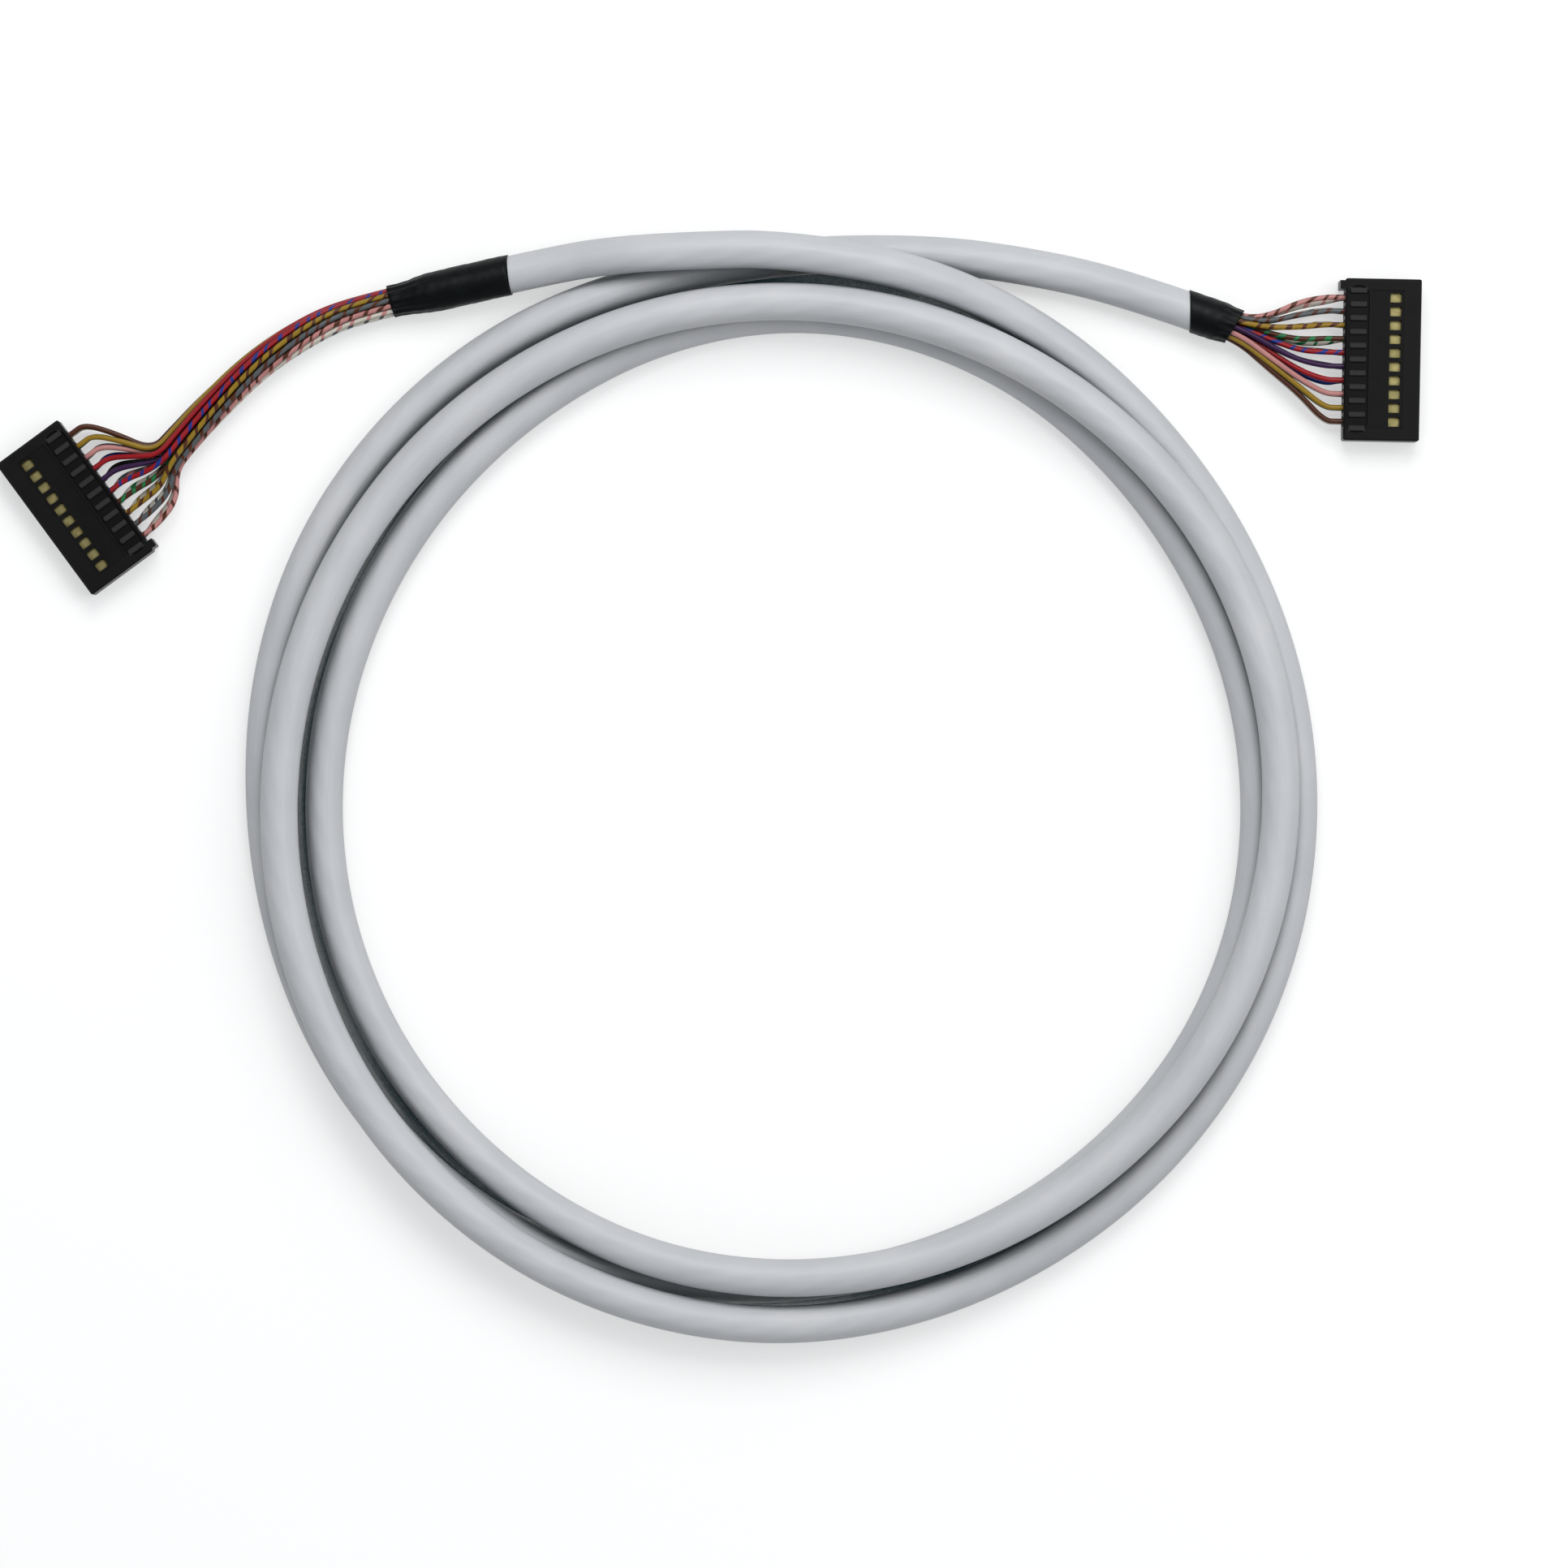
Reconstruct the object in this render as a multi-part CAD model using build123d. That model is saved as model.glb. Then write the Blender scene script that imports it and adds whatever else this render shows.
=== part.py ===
"""Controller cable: a round multi-core cable laid down in three loose turns, with both jacket ends
sleeved and the twenty cores of each end fanned out into a two-row socket connector.

Units are millimetres. +Z is up and Z = 0 is the surface that the cable lies on. The origin is midway
between the outermost faces of the two connectors and their sleeves.
"""

import os
from math import cos, pi, radians, sin, tan

from build123d import *

# Cable and cores
CABLE_DIAMETER = 6.9
WIRE_DIAMETER = 1.0
WIRE_SPACING = 1.04  # centre to centre in the bundle
INNER_RING_COUNT = 6
RING_START = 0.25  # how far each ring is turned, as a share of the step between its cores

# Heat-shrink sleeves
SLEEVE_WALL = 0.22
SLEEVE_FIT = 0.05
SLEEVE_EDGE_CHAMFER = 0.1
SLEEVE_REST_GAP = 0.1  # room under the left sleeve, which tilts slightly, and under its bundle

# Two-row socket connector. Its own frame: +X is the mating direction, +Y the side of the last pins.
PITCH = 2.54
COLUMNS = 10
END_WALL = 2.2  # from the pitch square of the last column to the end of the housing
HOUSING_DEPTH = 14.0
HOUSING_THICKNESS = 6.1
HOUSING_CORNER_RADIUS = 0.4
MATING_CHAMFER = 0.35
EAR_REACH = 1.0
EAR_WIDTH = 1.6
FUNNEL_SIZE = 1.5
FUNNEL_DEPTH = 0.6
PIN_HOLE_SIZE = 0.9
FRONT_WALL = 1.5
CAVITY_SIZE = 1.9
WINDOW_LENGTH = 2.1
WINDOW_WIDTH = 1.75
WINDOW_SETBACK = 4.7  # from the mating face to the middle of the windows

# Grip panel: a row of ribs in a shallow recess on both faces, near the wire side
REAR_STRIP = 0.85
RIB_LENGTH = 3.2
RIB_WIDTH = 1.05
RIB_ROUNDNESS = 0.65  # corner radius as a share of half the rib's width
RIB_CHAMFER = 0.15
PANEL_RELIEF = 0.45
PANEL_MARGIN = 0.4
PANEL_ROUNDNESS = 0.95  # corner radius as a share of half the recess's length

# Shallow band that the windows open in
BAND_GAP = 0.3  # from the grip panel
BAND_MARGIN = 0.45  # round the windows
BAND_RELIEF = 0.18

# Sheet-metal contact, one in each cavity
CONTACT_CLEARANCE = 0.06
CONTACT_METAL = 0.2
CONTACT_FRONT_SETBACK = 0.2  # from the cavity's front wall
CONTACT_BOX_LENGTH = 6.0
DIMPLE_LENGTH = 2.0
DIMPLE_GAP = 0.6
CRIMP_SETBACK = 1.6  # from the wire side of the housing to the crimp
CRIMP_LENGTH = 2.6
CRIMP_FIT = 0.02
WIRE_INSERTION = 3.8  # from the wire side of the housing to the end of a core

# Where the ring's centre and the two connectors lie
RING_CENTRE = (13.26, -70.73)

# The lay of the coil: winding angle clockwise from the top in degrees, radius, and height above the
# surface in cable diameters
COIL_STEP = 15
COIL_LAY = [
    (0, 101.9, 1.08), (15, 101.0, 0.95), (30, 99.5, 0.4), (45, 97.4, 0.04), (60, 96.2, 0.0),
    (90, 95.3, 0.0), (105, 95.2, 0.0), (120, 95.0, 0.0), (150, 94.4, 0.05), (165, 94.6, 0.3),
    (180, 94.9, 0.62), (195, 94.7, 0.88), (210, 94.3, 1.02), (240, 93.0, 1.04), (270, 92.2, 0.99),
    (285, 92.2, 0.9), (300, 92.4, 0.8), (330, 93.0, 0.78), (345, 93.1, 0.93), (360, 93.0, 1.01),
    (375, 93.0, 1.05), (390, 92.9, 1.03), (420, 92.8, 0.98), (450, 91.6, 0.96), (465, 90.6, 1.02),
    (480, 89.8, 1.04), (510, 88.3, 1.05), (525, 87.7, 1.06), (540, 87.1, 1.07), (555, 86.2, 1.04),
    (570, 85.4, 0.55), (585, 84.9, 0.12), (600, 84.5, 0.0), (630, 84.3, 0.0), (660, 84.9, 0.0),
    (690, 87.4, 0.0), (705, 89.6, 0.0), (720, 91.2, 0.0), (735, 91.3, 0.0), (750, 90.5, 0.0),
    (765, 89.2, 0.0), (780, 88.2, 0.0), (810, 87.7, 0.0), (840, 87.7, 0.0), (870, 86.9, 0.0),
    (885, 86.4, 0.0), (900, 86.9, 0.0), (915, 89.6, 0.0), (930, 92.3, 0.0), (945, 93.6, 0.0),
    (960, 94.0, 0.0), (975, 94.3, 0.0), (990, 95.1, 0.0), (1020, 98.8, 0.0), (1050, 100.2, 0.0),
    (1065, 99.8, 0.0), (1080, 101.1, 0.0),
]

# The tails, from the ring's centre. The left one starts at the jacket's end and climbs over the
# right one, and the right one ends at the jacket's other end. Heights are above the resting sleeve's
# axis on the left and above the resting cable's axis on the right.
LEFT_TAIL = [(-62.3, 95.6, 0.0), (-41.0, 100.4, 1.2), (-30.0, 101.7, 4.9), (-17.5, 102.3, 7.1)]
RIGHT_TAIL = [(26.8, 102.4, 0.0), (45.5, 100.0, 0.05), (62.9, 96.1, 0.3), (79.9, 90.0, 0.5)]

# Each sleeve's lengths over the jacket and over the cores, how far off square it is cut at those
# two ends in degrees, and how much wider than the tight bundle of cores its mouth stays
SLEEVE_LENGTHS = {"left": (12.6, 10.0), "right": (5.0, 3.8)}
SLEEVE_CUTS = {"left": (-6.0, 3.0), "right": (19.0, -12.0)}
SLEEVE_SLACK = {"left": 0.0, "right": 0.45}

# Each connector's centre from the ring's centre, and the compass angle of its mating direction
CONNECTORS = {"left": ((-130.1, 55.4), 216.3), "right": ((110.6, 82.6), -1.1)}

# Each bundle of cores runs on straight from the jacket's end, then through the stations listed: the
# middle of the bundle, how far it has turned, how loose it is, and how far it has fanned out
LEADS = {"left": 16.0, "right": 7.2}
BUNDLES = {
    "left": [
        ((-93.5, 84.6), 30, 1.15, 0.0),
        ((-106.0, 73.2), 60, 1.25, 0.0),
        ((-113.6, 64.6), 80, 1.35, 0.0),
    ],
    "right": [((92.4, 85.9), 0, 1.45, 0.15)],
}
PEEL = {"left": 5.0, "right": 2.0}  # how much sooner the outermost core leaves the bundle
ENTRY = {"left": 2.8, "right": 3.2}  # straight length of a core outside its hole


def slopes(keys, column):
    """Slope at each key of a table, level at its turning points, so that no value overshoots."""
    steps = [
        (after[column] - before[column]) / (after[0] - before[0])
        for before, after in zip(keys, keys[1:])
    ]
    inner = [0.0 if a * b <= 0 else 2 * a * b / (a + b) for a, b in zip(steps, steps[1:])]
    return [steps[0]] + inner + [steps[-1]]


def eased(keys, column, rises, at):
    """Value of one column of a table at an angle, on a smooth curve through its keys."""
    i = max(k for k in range(len(keys) - 1) if k == 0 or keys[k][0] < at)
    before, after = keys[i], keys[i + 1]
    width = after[0] - before[0]
    t = (at - before[0]) / width
    start = (1 + 2 * t) * (1 - t) ** 2 * before[column] + t * (1 - t) ** 2 * width * rises[i]
    end = t * t * (3 - 2 * t) * after[column] - t * t * (1 - t) * width * rises[i + 1]
    return start + end


def coil_points():
    """Corners of the coil's route, one for each step of the winding angle."""
    radius_slopes = slopes(COIL_LAY, 1)
    level_slopes = slopes(COIL_LAY, 2)
    reach = 1 / cos(radians(COIL_STEP / 2))
    points = []
    for angle in range(0, COIL_LAY[-1][0] + 1, COIL_STEP):
        radius = eased(COIL_LAY, 1, radius_slopes, angle) * reach
        height = (0.5 + eased(COIL_LAY, 2, level_slopes, angle)) * CABLE_DIAMETER
        turn = radians(angle)
        points.append((radius * sin(turn), radius * cos(turn), height))
    return points


def raised(points, height):
    """The points again, with their heights counted from the given one."""
    return [(x, y, z + height) for x, y, z in points]


def corner_radii(points):
    """Radius of the arc at each inner corner: as large as 0.45 of its shorter run allows."""
    corners = [Vector(*p) for p in points]
    radii = []
    for before, corner, after in zip(corners, corners[1:], corners[2:]):
        shorter = min((corner - before).length, (after - corner).length)
        turn = radians((corner - before).get_angle(after - corner))
        radii.append(0.45 * shorter / tan(turn / 2))
    return radii


def tube(points, radii, diameter):
    """Round solid along straight runs joined by tangent arcs."""
    path = FilletPolyline(*points, radius=radii) if len(radii) else Line(*points)
    start = Plane(origin=path @ 0, z_dir=path % 0)
    return sweep(start * Circle(diameter / 2), path=path)


def between(start, end):
    """The point halfway between two points."""
    return tuple((a + b) / 2 for a, b in zip(start, end))


def cable_pieces():
    """The cable's left tail, its coil and its right tail, meeting face to face."""
    left = raised(LEFT_TAIL, sleeve_radius() + SLEEVE_REST_GAP)
    right = raised(RIGHT_TAIL, CABLE_DIAMETER / 2)
    coil = coil_points()
    radii = corner_radii(left + coil + right)
    print("cable arc radii", [round(r, 1) for r in radii])
    first_joint = between(left[-1], coil[0])
    last_joint = between(coil[-1], right[0])
    a = len(left) - 1
    b = a + len(coil)
    return {
        "cable_tail_left": tube(left + [first_joint], radii[:a], CABLE_DIAMETER),
        "cable_coil": tube([first_joint] + coil + [last_joint], radii[a:b], CABLE_DIAMETER),
        "cable_tail_right": tube([last_joint] + right, radii[b:], CABLE_DIAMETER),
    }


def rings():
    """Number of cores and radius of each ring round the bundle's middle core."""
    outer_count = 2 * COLUMNS - 1 - INNER_RING_COUNT
    inner = WIRE_SPACING / (2 * sin(pi / INNER_RING_COUNT))
    outer = max(inner + WIRE_SPACING, WIRE_SPACING / (2 * sin(pi / outer_count)))
    return [(INNER_RING_COUNT, inner), (outer_count, outer)]


def packing():
    """Place of each core in the bundle's cross-section: one in the middle and two rings."""
    spots = [(0.0, 0.0)]
    for count, radius in rings():
        for k in range(count):
            angle = 2 * pi * (k + RING_START) / count
            spots.append((radius * cos(angle), radius * sin(angle)))
    return spots


def bundle_radius():
    """Outside radius of the tight bundle of cores."""
    return rings()[-1][1] + WIRE_DIAMETER / 2


def sleeve_radius():
    """Outside radius of a sleeve over the jacket."""
    return CABLE_DIAMETER / 2 + SLEEVE_FIT + SLEEVE_WALL


def jacket_end(end):
    """Plane of a jacket's cut end: +Z points out along the cores and +Y up."""
    if end == "left":
        inboard, tip = raised(LEFT_TAIL[1::-1], sleeve_radius() + SLEEVE_REST_GAP)
    else:
        inboard, tip = raised(RIGHT_TAIL[-2:], CABLE_DIAMETER / 2)
    outward = Vector(*tip) - Vector(*inboard)
    return Plane(origin=tip, x_dir=Vector(0, 0, 1).cross(outward), z_dir=outward)


def sleeve(end):
    """Shrunk sleeve that narrows from the jacket's end to its mouth over the cores."""
    over_jacket, over_cores = SLEEVE_LENGTHS[end]
    wide = sleeve_radius()
    mouth = min(wide, bundle_radius() + SLEEVE_SLACK[end] + SLEEVE_FIT + SLEEVE_WALL)
    outside = [(wide, 0.0), (wide, over_cores / 2), (mouth, over_cores / 2), (mouth, over_cores)]
    inside = [(radius - SLEEVE_WALL, along) for radius, along in outside]
    # both ends are made too long, for the slanting cuts
    back, front = -over_jacket - wide, over_cores + wide
    ends = [
        Polyline(inside[0], (wide - SLEEVE_WALL, back), (wide, back), outside[0]),
        Polyline(outside[-1], (mouth, front), (mouth - SLEEVE_WALL, front), inside[-1]),
    ]
    profile = make_face([Bezier(*outside), Bezier(*inside)] + ends)
    shell = revolve(Plane.XZ * profile, Axis.Z)
    for cut, along, facing in zip(SLEEVE_CUTS[end], (-over_jacket, over_cores), (Align.MAX, Align.MIN)):
        trim = Box(4 * wide, 4 * wide, 3 * wide, align=(Align.CENTER, Align.CENTER, facing))
        shell -= Pos(0, 0, along) * Rot(0, cut, 0) * trim
    rims = shell.edges().filter_by(GeomType.ELLIPSE)
    return jacket_end(end) * chamfer(rims, SLEEVE_EDGE_CHAMFER)


def columns():
    """Place of each column of contacts along the connector."""
    return [(k - (COLUMNS - 1) / 2) * PITCH for k in range(COLUMNS)]


def both_rows(cutters):
    """The upper row's cutters with their mirror images for the lower row."""
    return cutters + [mirror(c, about=Plane.XY) for c in cutters]


def block(x_range, width, z_range, y=0.0):
    """Box between two depths and two heights, centred on y."""
    size = (x_range[1] - x_range[0], width, z_range[1] - z_range[0])
    return Pos(sum(x_range) / 2, y, sum(z_range) / 2) * Box(*size)


def funnel():
    """Tapered lead-in of one pin entry, with its mouth on the plane X = 0."""
    mouth = Plane.YZ * Rectangle(FUNNEL_SIZE, FUNNEL_SIZE)
    throat = Pos(-FUNNEL_DEPTH, 0, 0) * (Plane.YZ * Rectangle(PIN_HOLE_SIZE, PIN_HOLE_SIZE))
    return loft([throat.face(), mouth.face()])


def housing_length():
    """Length of the housing along its rows of contacts."""
    return COLUMNS * PITCH + 2 * END_WALL


def rear_features():
    """Depths at which the ribs, the panel round them and the band of windows start and end."""
    rear = -HOUSING_DEPTH / 2
    window = HOUSING_DEPTH / 2 - WINDOW_SETBACK
    ribs = (rear + REAR_STRIP, rear + REAR_STRIP + RIB_LENGTH)
    panel = (ribs[0] - PANEL_MARGIN, ribs[1] + PANEL_MARGIN)
    band = (panel[1] + BAND_GAP, window + WINDOW_LENGTH / 2 + BAND_MARGIN)
    return ribs, panel, band


def grip_panel():
    """Cutter for the recess in the upper face, with its ribs left standing."""
    ribs, panel, _ = rear_features()
    floor = HOUSING_THICKNESS / 2 - PANEL_RELIEF
    length = panel[1] - panel[0]
    width = COLUMNS * PITCH + RIB_WIDTH + 2 * PANEL_MARGIN
    outline = RectangleRounded(length, width, PANEL_ROUNDNESS * length / 2)
    recess = Pos(sum(panel) / 2, 0, floor) * extrude(outline, PANEL_RELIEF)
    rib = RectangleRounded(RIB_LENGTH, RIB_WIDTH, RIB_ROUNDNESS * RIB_WIDTH / 2)
    bars = []
    for k in range(COLUMNS + 1):
        bar = extrude(rib, PANEL_RELIEF)
        bar = chamfer(bar.faces().sort_by(Axis.Z)[-1].edges(), RIB_CHAMFER)
        bars.append(Pos(sum(ribs) / 2, (k - COLUMNS / 2) * PITCH, floor) * bar)
    return recess - bars


def housing():
    """Moulded connector housing, centred on its own middle."""
    front, rear, top = HOUSING_DEPTH / 2, -HOUSING_DEPTH / 2, HOUSING_THICKNESS / 2
    row = PITCH / 2
    window = front - WINDOW_SETBACK
    cavity = (row - CAVITY_SIZE / 2, row + CAVITY_SIZE / 2)
    pin_hole = (row - PIN_HOLE_SIZE / 2, row + PIN_HOLE_SIZE / 2)
    body = Box(HOUSING_DEPTH, housing_length(), HOUSING_THICKNESS)
    body = fillet(body.edges().filter_by(Axis.Z), HOUSING_CORNER_RADIUS)
    body = chamfer(body.faces().sort_by(Axis.X)[-1].edges().filter_by(Axis.Y), MATING_CHAMFER)
    ear_y = housing_length() / 2 - HOUSING_CORNER_RADIUS - EAR_WIDTH / 2
    body += block((rear - EAR_REACH, rear + EAR_WIDTH), EAR_WIDTH, (-top, top), ear_y)
    band_width = (COLUMNS - 1) * PITCH + WINDOW_WIDTH + 2 * BAND_MARGIN
    band = block(rear_features()[2], band_width, (top - BAND_RELIEF, top))
    cutters = [grip_panel(), band]
    for y in columns():
        cutters += [
            Pos(front, y, row) * funnel(),
            block((front - FRONT_WALL, front - FUNNEL_DEPTH), PIN_HOLE_SIZE, pin_hole, y),
            block((rear, front - FRONT_WALL), CAVITY_SIZE, cavity, y),
            block((window - WINDOW_LENGTH / 2, window + WINDOW_LENGTH / 2), WINDOW_WIDTH, (row, top), y),
        ]
    return body - both_rows(cutters)


def contact():
    """One crimped socket contact of the upper row, in the connector's own frame at column zero."""
    row = PITCH / 2
    size = CAVITY_SIZE - 2 * CONTACT_CLEARANCE
    low = row - size / 2
    nose = HOUSING_DEPTH / 2 - FRONT_WALL - CONTACT_FRONT_SETBACK
    back = nose - CONTACT_BOX_LENGTH
    inside = size - 2 * CONTACT_METAL
    box = block((back, nose), size, (low, low + size))
    box -= block((back, nose), inside, (low + CONTACT_METAL, low + size - CONTACT_METAL))
    for side in (1, -1):
        dimple = Polyline(
            (nose, side * inside / 2),
            (nose - DIMPLE_LENGTH / 2, side * DIMPLE_GAP / 2),
            (nose - DIMPLE_LENGTH, side * inside / 2),
            close=True,
        )
        box += Pos(0, 0, low) * extrude(make_face(dimple), size)
    crimp_start = CRIMP_SETBACK - HOUSING_DEPTH / 2
    bore = WIRE_DIAMETER / 2 + CRIMP_FIT
    strap = block((crimp_start, back + CONTACT_METAL), WIRE_DIAMETER, (low, row - bore))
    barrel = Cylinder(bore + CONTACT_METAL, CRIMP_LENGTH, align=(Align.CENTER, Align.CENTER, Align.MIN))
    barrel = Pos(crimp_start, 0, row) * Rot(0, 90, 0) * barrel
    through = Pos(crimp_start, 0, row) * Rot(0, 90, 0) * Cylinder(bore, 2 * CRIMP_LENGTH)
    return box + (strap + barrel - through)


def contact_rows():
    """The ten contacts of the upper row and the ten of the lower row."""
    upper = [Pos(0, y, 0) * contact() for y in columns()]
    lower = [mirror(c, about=Plane.XY) for c in upper]
    return upper, lower


def seat(end):
    """Where a connector lies: flat on the surface, turned to its mating direction."""
    (x, y), angle = CONNECTORS[end]
    return Pos(x, y, HOUSING_THICKNESS / 2) * Rot(0, 0, angle)


def turned(spot, degrees):
    """A place in the bundle's cross-section after the bundle has turned."""
    c, s = cos(radians(degrees)), sin(radians(degrees))
    return (spot[0] * c - spot[1] * s, spot[0] * s + spot[1] * c)


def pin_places(spots, turn):
    """Row and column for each core: the upper half of the neck feeds the upper row."""
    neck = [turned(spot, turn) for spot in spots]
    by_height = sorted(range(len(spots)), key=lambda k: neck[k][1])
    places = {}
    for row in (0, 1):
        half = by_height[row * COLUMNS:(row + 1) * COLUMNS]
        for column, k in enumerate(sorted(half, key=lambda k: neck[k][0])):
            places[k] = (row, column)
    return places


def bundle_rest():
    """Height of the middle of a bundle that lies on the surface at its loosest."""
    loosest = max(loose for _, _, loose, _ in BUNDLES["left"])
    return rings()[-1][1] * loosest + WIRE_DIAMETER / 2 + SLEEVE_REST_GAP


def wire_routes(end):
    """Corners of each core's route from the jacket's end to its crimp, by pin number."""
    stations = BUNDLES[end]
    start, lead = jacket_end(end), LEADS[end]
    middle = [start.origin + start.z_dir * lead] + [Vector(*xy) for xy, *_ in stations]
    spots = packing()
    places = pin_places(spots, stations[-1][1])
    (cx, cy), angle = CONNECTORS[end]
    mating = Vector(1, 0).rotate(Axis.Z, angle)
    left_hand = Vector(0, 1).rotate(Axis.Z, angle)
    half_row = (COLUMNS - 1) / 2 * PITCH
    routes = {}
    for k, (row, column) in places.items():
        y = columns()[column]
        slot = Vector(cx, cy, HOUSING_THICKNESS / 2 + (row - 0.5) * PITCH) + left_hand * y
        spot = start.x_dir * spots[k][0] + start.y_dir * spots[k][1]
        points = [start.origin + spot, middle[0] + spot]
        for i, (xy, turn, loose, fanned) in enumerate(stations, start=1):
            ahead = middle[min(i + 1, len(stations))] - middle[i - 1]
            ahead = Vector(ahead.X, ahead.Y).normalized()
            side, up = turned(spots[k], turn)
            point = Vector(*xy, bundle_rest() + up * loose)
            point += Vector(-ahead.Y, ahead.X) * side * loose
            if i == len(stations):
                point -= ahead * PEEL[end] * abs(y) / half_row
            abreast = slot + mating * (point - slot).dot(mating)
            points.append(point + (abreast - point) * fanned)
        for depth in (-ENTRY[end], WIRE_INSERTION):
            points.append(slot + mating * (depth - HOUSING_DEPTH / 2))
        routes[2 * column + 1 + row] = [tuple(point) for point in points]
    return routes


def build():
    """Every piece by its node's name, about the ring's centre."""
    pieces = cable_pieces()
    for end in ("left", "right"):
        pieces[f"sleeve_{end}"] = sleeve(end)
        pieces[f"connector_housing_{end}"] = seat(end) * housing()
        upper, lower = contact_rows()
        pieces[f"contacts_upper_{end}"] = Compound([seat(end) * c for c in upper])
        pieces[f"contacts_lower_{end}"] = Compound([seat(end) * c for c in lower])
        for pin, route in sorted(wire_routes(end).items()):
            pieces[f"wire_{end}_{pin:02d}"] = tube(route, corner_radii(route), WIRE_DIAMETER)
    return pieces


os.makedirs("parts", exist_ok=True)
for name, piece in build().items():
    export_step(Pos(*RING_CENTRE, 0) * piece, f"parts/{name}.step")
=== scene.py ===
"""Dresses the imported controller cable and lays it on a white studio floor, seen from above.

The cable lies in three loose turns. Each jacket end is sleeved, and its twenty colour-coded cores
fan out into a two-row socket connector. Routes are worked out in millimetres about the middle of
the coil's ring, and turned to metres in the part's frame as they are built.
"""

import logging
import math
from bisect import bisect_right
from dataclasses import dataclass, field
from enum import Enum
from itertools import accumulate

import bpy
from bpy.types import ID, Material, Node, NodeSocket, NodeTree, Object
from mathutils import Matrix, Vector


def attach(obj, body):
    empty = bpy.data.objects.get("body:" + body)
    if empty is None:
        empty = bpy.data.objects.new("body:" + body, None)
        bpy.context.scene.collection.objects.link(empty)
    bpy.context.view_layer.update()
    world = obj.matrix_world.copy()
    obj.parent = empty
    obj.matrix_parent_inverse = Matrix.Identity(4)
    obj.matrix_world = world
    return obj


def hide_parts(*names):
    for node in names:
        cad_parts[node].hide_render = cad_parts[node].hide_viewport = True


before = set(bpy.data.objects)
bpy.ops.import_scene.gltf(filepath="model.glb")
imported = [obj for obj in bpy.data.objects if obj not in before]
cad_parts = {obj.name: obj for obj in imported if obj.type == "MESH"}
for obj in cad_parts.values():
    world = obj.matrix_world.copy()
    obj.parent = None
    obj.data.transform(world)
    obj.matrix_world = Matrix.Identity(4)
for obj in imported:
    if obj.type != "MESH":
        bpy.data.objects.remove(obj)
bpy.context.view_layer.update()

MM = 0.001
BODY = "root"
ROUTE_UV = "route"
UP = Vector((0, 0, 1))

log = logging.getLogger("controller_cable")

Pair = tuple[float, float]
Points = list[Vector]
Value = NodeSocket | float | tuple[float, ...]
Settings = dict[str, str | int]
Inputs = dict[str | int, Value]


class Side(Enum):
    """The two ends of the cable, named as they lie seen from above."""

    LEFT = "left"
    RIGHT = "right"


class Hue(Enum):
    """Colours of core insulation, as sRGB hex, in the order of the first ten cores."""

    WHITE = "#D9D4C6"
    BROWN = "#4E2816"
    GREEN = "#136F3B"
    YELLOW = "#95761B"
    GREY = "#575C5F"
    PINK = "#BD827E"
    BLUE = "#152C7C"
    RED = "#98101B"
    BLACK = "#121213"
    VIOLET = "#381B47"


def linear(colour: str) -> tuple[float, float, float, float]:
    """Turns an sRGB hex colour into the linear colour that a shader takes.

    Args:
        colour: Six hex digits after a hash.

    Returns:
        Linear red, green and blue, with an alpha of 1.
    """
    parts = [int(colour[i:i + 2], 16) / 255 for i in (1, 3, 5)]
    red, green, blue = (p / 12.92 if p <= 0.04045 else ((p + 0.055) / 1.055) ** 2.4 for p in parts)
    return red, green, blue, 1.0


def add_node(
    tree: NodeTree, kind: str, settings: Settings | None = None, inputs: Inputs | None = None
) -> Node:
    """Adds one node with its settings and links.

    Args:
        tree: Node tree that gets the node.
        kind: Blender's type name of the node, after ShaderNode.
        settings: Properties of the node.
        inputs: For each input, by name or place, the socket that feeds it or its own value.

    Returns:
        The new node.
    """
    node = tree.nodes.new("ShaderNode" + kind)
    for name, value in (settings or {}).items():
        setattr(node, name, value)
    for name, value in (inputs or {}).items():
        if isinstance(value, NodeSocket):
            tree.links.new(value, node.inputs[name])
        else:
            node.inputs[name].default_value = value
    return node


def new_object(name: str, data: ID) -> Object:
    """Adds an object to the scene.

    Args:
        name: Name of the object.
        data: Its mesh, lamp or lens.

    Returns:
        The new object.
    """
    added = bpy.data.objects.new(name, data)
    bpy.context.scene.collection.objects.link(added)
    return added


def new_material(name: str) -> tuple[Material, NodeTree]:
    """Makes a material with an empty node tree.

    Args:
        name: Name of the material.

    Returns:
        The material and its node tree.
    """
    material = bpy.data.materials.new(name)
    material.use_nodes = True
    material.node_tree.nodes.clear()
    return material, material.node_tree


def maths(tree: NodeTree, operation: str, *values: Value) -> NodeSocket:
    """The result of one of Blender's maths operations on some values, in order."""
    node = add_node(tree, "Math", {"operation": operation}, dict(enumerate(values)))
    return node.outputs[0]


def blend(tree: NodeTree, share: Value, first: Value, second: Value) -> NodeSocket:
    """A mix of two colours, with this share of the second."""
    node = add_node(tree, "Mix", {"data_type": "RGBA"}, {0: share, 6: first, 7: second})
    return node.outputs[2]


def spread(
    tree: NodeTree, value: NodeSocket, onto: Pair, over: Pair = (0.0, 1.0), curve: str = "LINEAR"
) -> NodeSocket:
    """Maps one range of a value onto another.

    Args:
        tree: Node tree that gets the node.
        value: The value.
        onto: Range of the result.
        over: Range of the value that is spread over it.
        curve: Blender's name of the way between the two.

    Returns:
        The result.
    """
    node = add_node(tree, "MapRange", {"interpolation_type": curve}, {
        "Value": value, "From Min": over[0], "From Max": over[1],
        "To Min": onto[0], "To Max": onto[1]})
    return node.outputs["Result"]


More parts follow.
